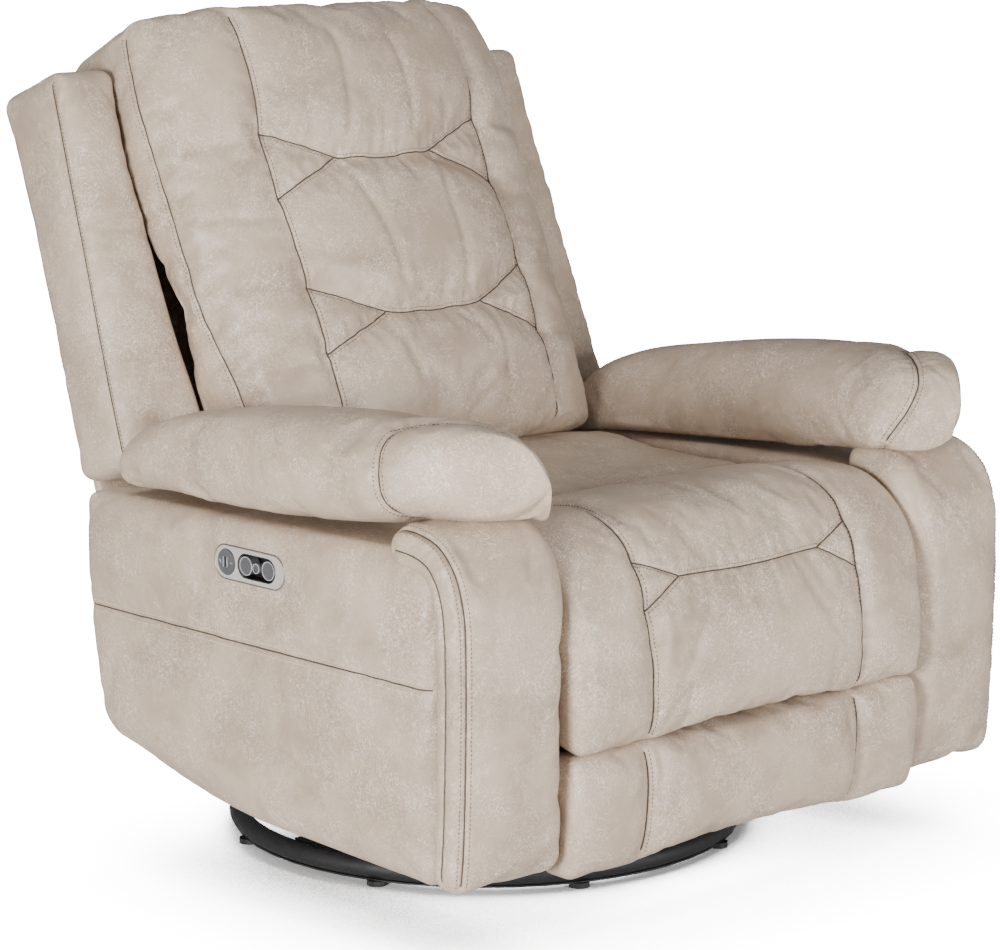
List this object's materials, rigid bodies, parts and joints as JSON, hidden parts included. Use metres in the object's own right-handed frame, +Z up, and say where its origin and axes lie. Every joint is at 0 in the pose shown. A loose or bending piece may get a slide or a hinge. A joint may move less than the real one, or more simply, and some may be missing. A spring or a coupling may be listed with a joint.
{
  "type": "power swivel glider recliner",
  "caption": "Padded recliner armchair with pillow arms, tilting headrest, lifting legrest, gliding links and a ring swivel base; control panel in one arm.",
  "frame": {"origin": "on the floor under the middle of the chair's footprint, with everything at rest", "axes": "+Z up, the sitter faces -Y, +X is the sitter's left and the control panel is on the -X arm"},
  "size_m": [0.956, 0.9684, 1.0499],
  "materials": {
    "upholstery": "distressed taupe leather-look cloth",
    "black_steel": "black powder coat",
    "zinc_steel": "zinc plated",
    "timber": "raw plywood",
    "satin_metal": "satin champagne",
    "dark_plastic": "fine grain",
    "grey_plastic": "satin"
  },
  "bodies": {
    "base": {"base_ring": "black_steel", "foot_glide_ring": "dark_plastic", "base_cross": "black_steel", "swivel_lower_race": "zinc_steel"},
    "turntable": {"swivel_upper_race": "zinc_steel", "turntable_plate": "black_steel", "swivel_bolt": "zinc_steel", "glider_stand_left": "black_steel", "glider_stand_right": "black_steel", "glider_cross_tube_front": "black_steel", "glider_cross_tube_rear": "black_steel", "glider_axle_front": "zinc_steel", "glider_axle_rear": "zinc_steel"},
    "front_links": {"swing_link_front_left": "zinc_steel", "swing_link_front_right": "zinc_steel"},
    "rear_links": {"swing_link_rear_left": "zinc_steel", "swing_link_rear_right": "zinc_steel"},
    "chair": {"mechanism_plate_left": "black_steel", "mechanism_plate_right": "black_steel", "link_axle_front": "zinc_steel", "link_axle_rear": "zinc_steel", "recline_axle": "zinc_steel", "seat_frame": "timber", "seat_springs": "zinc_steel", "seat_cushion": "upholstery", "seat_front_roll": "upholstery", "rear_skirt_panel": "upholstery", "arm_box_left": "upholstery", "arm_box_right": "upholstery", "arm_front_pad_left": "upholstery", "arm_front_pad_right": "upholstery", "arm_pillow_left": "upholstery", "arm_pillow_right": "upholstery", "control_panel": "satin_metal", "switch_housing": "dark_plastic", "usb_port": "grey_plastic", "legrest_hinge_left": "black_steel", "legrest_hinge_right": "black_steel", "recline_motor": "dark_plastic"},
    "recline_rocker": {"recline_rocker": "grey_plastic"},
    "headrest_rocker": {"headrest_rocker": "grey_plastic"},
    "home_button": {"home_button": "grey_plastic"},
    "backrest": {"back_frame": "timber", "back_bracket_left": "black_steel", "back_bracket_right": "black_steel", "back_cushion": "upholstery", "wing_left": "upholstery", "wing_right": "upholstery", "back_rear_cover": "upholstery", "headrest_axle": "zinc_steel", "headrest_motor": "dark_plastic"},
    "headrest": {"headrest_board": "timber", "head_cushion": "upholstery"},
    "headrest_rod": {"headrest_rod": "zinc_steel"},
    "legrest": {"legrest_upper_pad": "upholstery", "legrest_lower_pad": "upholstery", "legrest_board": "timber", "legrest_arm_left": "black_steel", "legrest_arm_right": "black_steel"},
    "recline_rod": {"recline_rod": "zinc_steel"}
  },
  "joints": [
    {"name": "swivel", "type": "hinge", "parent": "base", "child": "turntable", "pos_m": [0, 0.00782, 0.0398], "axis": [0, 0, 1], "continuous": true},
    {"name": "glide", "type": "hinge", "parent": "turntable", "child": "front_links", "pos_m": [0, -0.14218, 0.225], "axis": [1, 0, 0], "range_deg": [-16, 16]},
    {"name": "rear_link_swing", "type": "hinge", "parent": "turntable", "child": "rear_links", "pos_m": [0, 0.15782, 0.225], "axis": [1, 0, 0], "range_deg": [-16.5, 16.5]},
    {"name": "chair_level", "type": "hinge", "parent": "front_links", "child": "chair", "pos_m": [0, -0.14218, 0.125], "axis": [1, 0, 0], "range_deg": [-16.5, 16.5]},
    {"name": "recline", "type": "hinge", "parent": "chair", "child": "backrest", "pos_m": [0, 0.17782, 0.4], "axis": [-1, 0, 0], "range_deg": [0, 40]},
    {"name": "legrest_lift", "type": "hinge", "parent": "chair", "child": "legrest", "pos_m": [0, -0.41718, 0.425], "axis": [-1, 0, 0], "range_deg": [0, 85.5]},
    {"name": "recline_rod_slide", "type": "slide", "parent": "chair", "child": "recline_rod", "axis": [0, -0.9882, 0.1532], "range_m": [0, 0.14715]},
    {"name": "headrest_tilt", "type": "hinge", "parent": "backrest", "child": "headrest", "pos_m": [0, 0.36368, 0.81123], "axis": [1, 0, 0], "range_deg": [0, 30]},
    {"name": "headrest_rod_slide", "type": "slide", "parent": "backrest", "child": "headrest_rod", "axis": [0, 0.342, 0.9397], "range_m": [0, 0.0125]},
    {"name": "recline_rocker_press", "type": "hinge", "parent": "chair", "child": "recline_rocker", "pos_m": [-0.4585, -0.07818, 0.416], "axis": [0, 0, 1], "range_deg": [-4, 4], "stiffness_Nm_per_rad": 0.5},
    {"name": "headrest_rocker_press", "type": "hinge", "parent": "chair", "child": "headrest_rocker", "pos_m": [-0.4585, -0.11918, 0.416], "axis": [0, 0, 1], "range_deg": [-4, 4], "stiffness_Nm_per_rad": 0.5},
    {"name": "home_button_press", "type": "slide", "parent": "chair", "child": "home_button", "axis": [1, 0, 0], "range_m": [0, 0.0012], "stiffness_N_per_m": 400}
  ],
  "couplings": [
    {"joint": "rear_link_swing", "follows": "glide", "ratio": 1},
    {"joint": "chair_level", "follows": "glide", "ratio": -1},
    {"joint": "legrest_lift", "follows": "recline", "ratio": 2.125},
    {"joint": "recline_rod_slide", "follows": "recline", "m_per_rad": 0.20935},
    {"joint": "headrest_rod_slide", "follows": "headrest_tilt", "m_per_rad": 0.0225}
  ]
}
